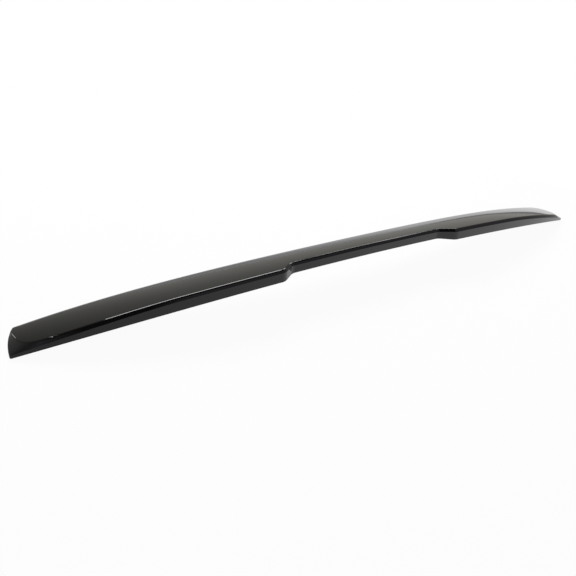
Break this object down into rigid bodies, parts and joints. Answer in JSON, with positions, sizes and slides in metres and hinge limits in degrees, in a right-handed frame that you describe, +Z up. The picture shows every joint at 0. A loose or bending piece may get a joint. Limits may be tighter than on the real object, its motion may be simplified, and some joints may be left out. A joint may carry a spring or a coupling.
{
  "type": "roof spoiler",
  "caption": "Gloss black car roof spoiler: a thin arched and swept shell with drooping tips, a bevelled rear edge stepped back in the middle, and a hollow underside.",
  "frame": {"origin": "centre of the bounding box in plan, at the level on which the tips rest", "axes": "+X across the car to the right seen from behind, +Y towards the front of the car, +Z up"},
  "size_m": [1.1496, 0.1211, 0.0812],
  "materials": {
    "gloss_black": "gloss"
  },
  "bodies": {
    "root": {"spoiler_shell": "gloss_black"}
  },
  "joints": []
}
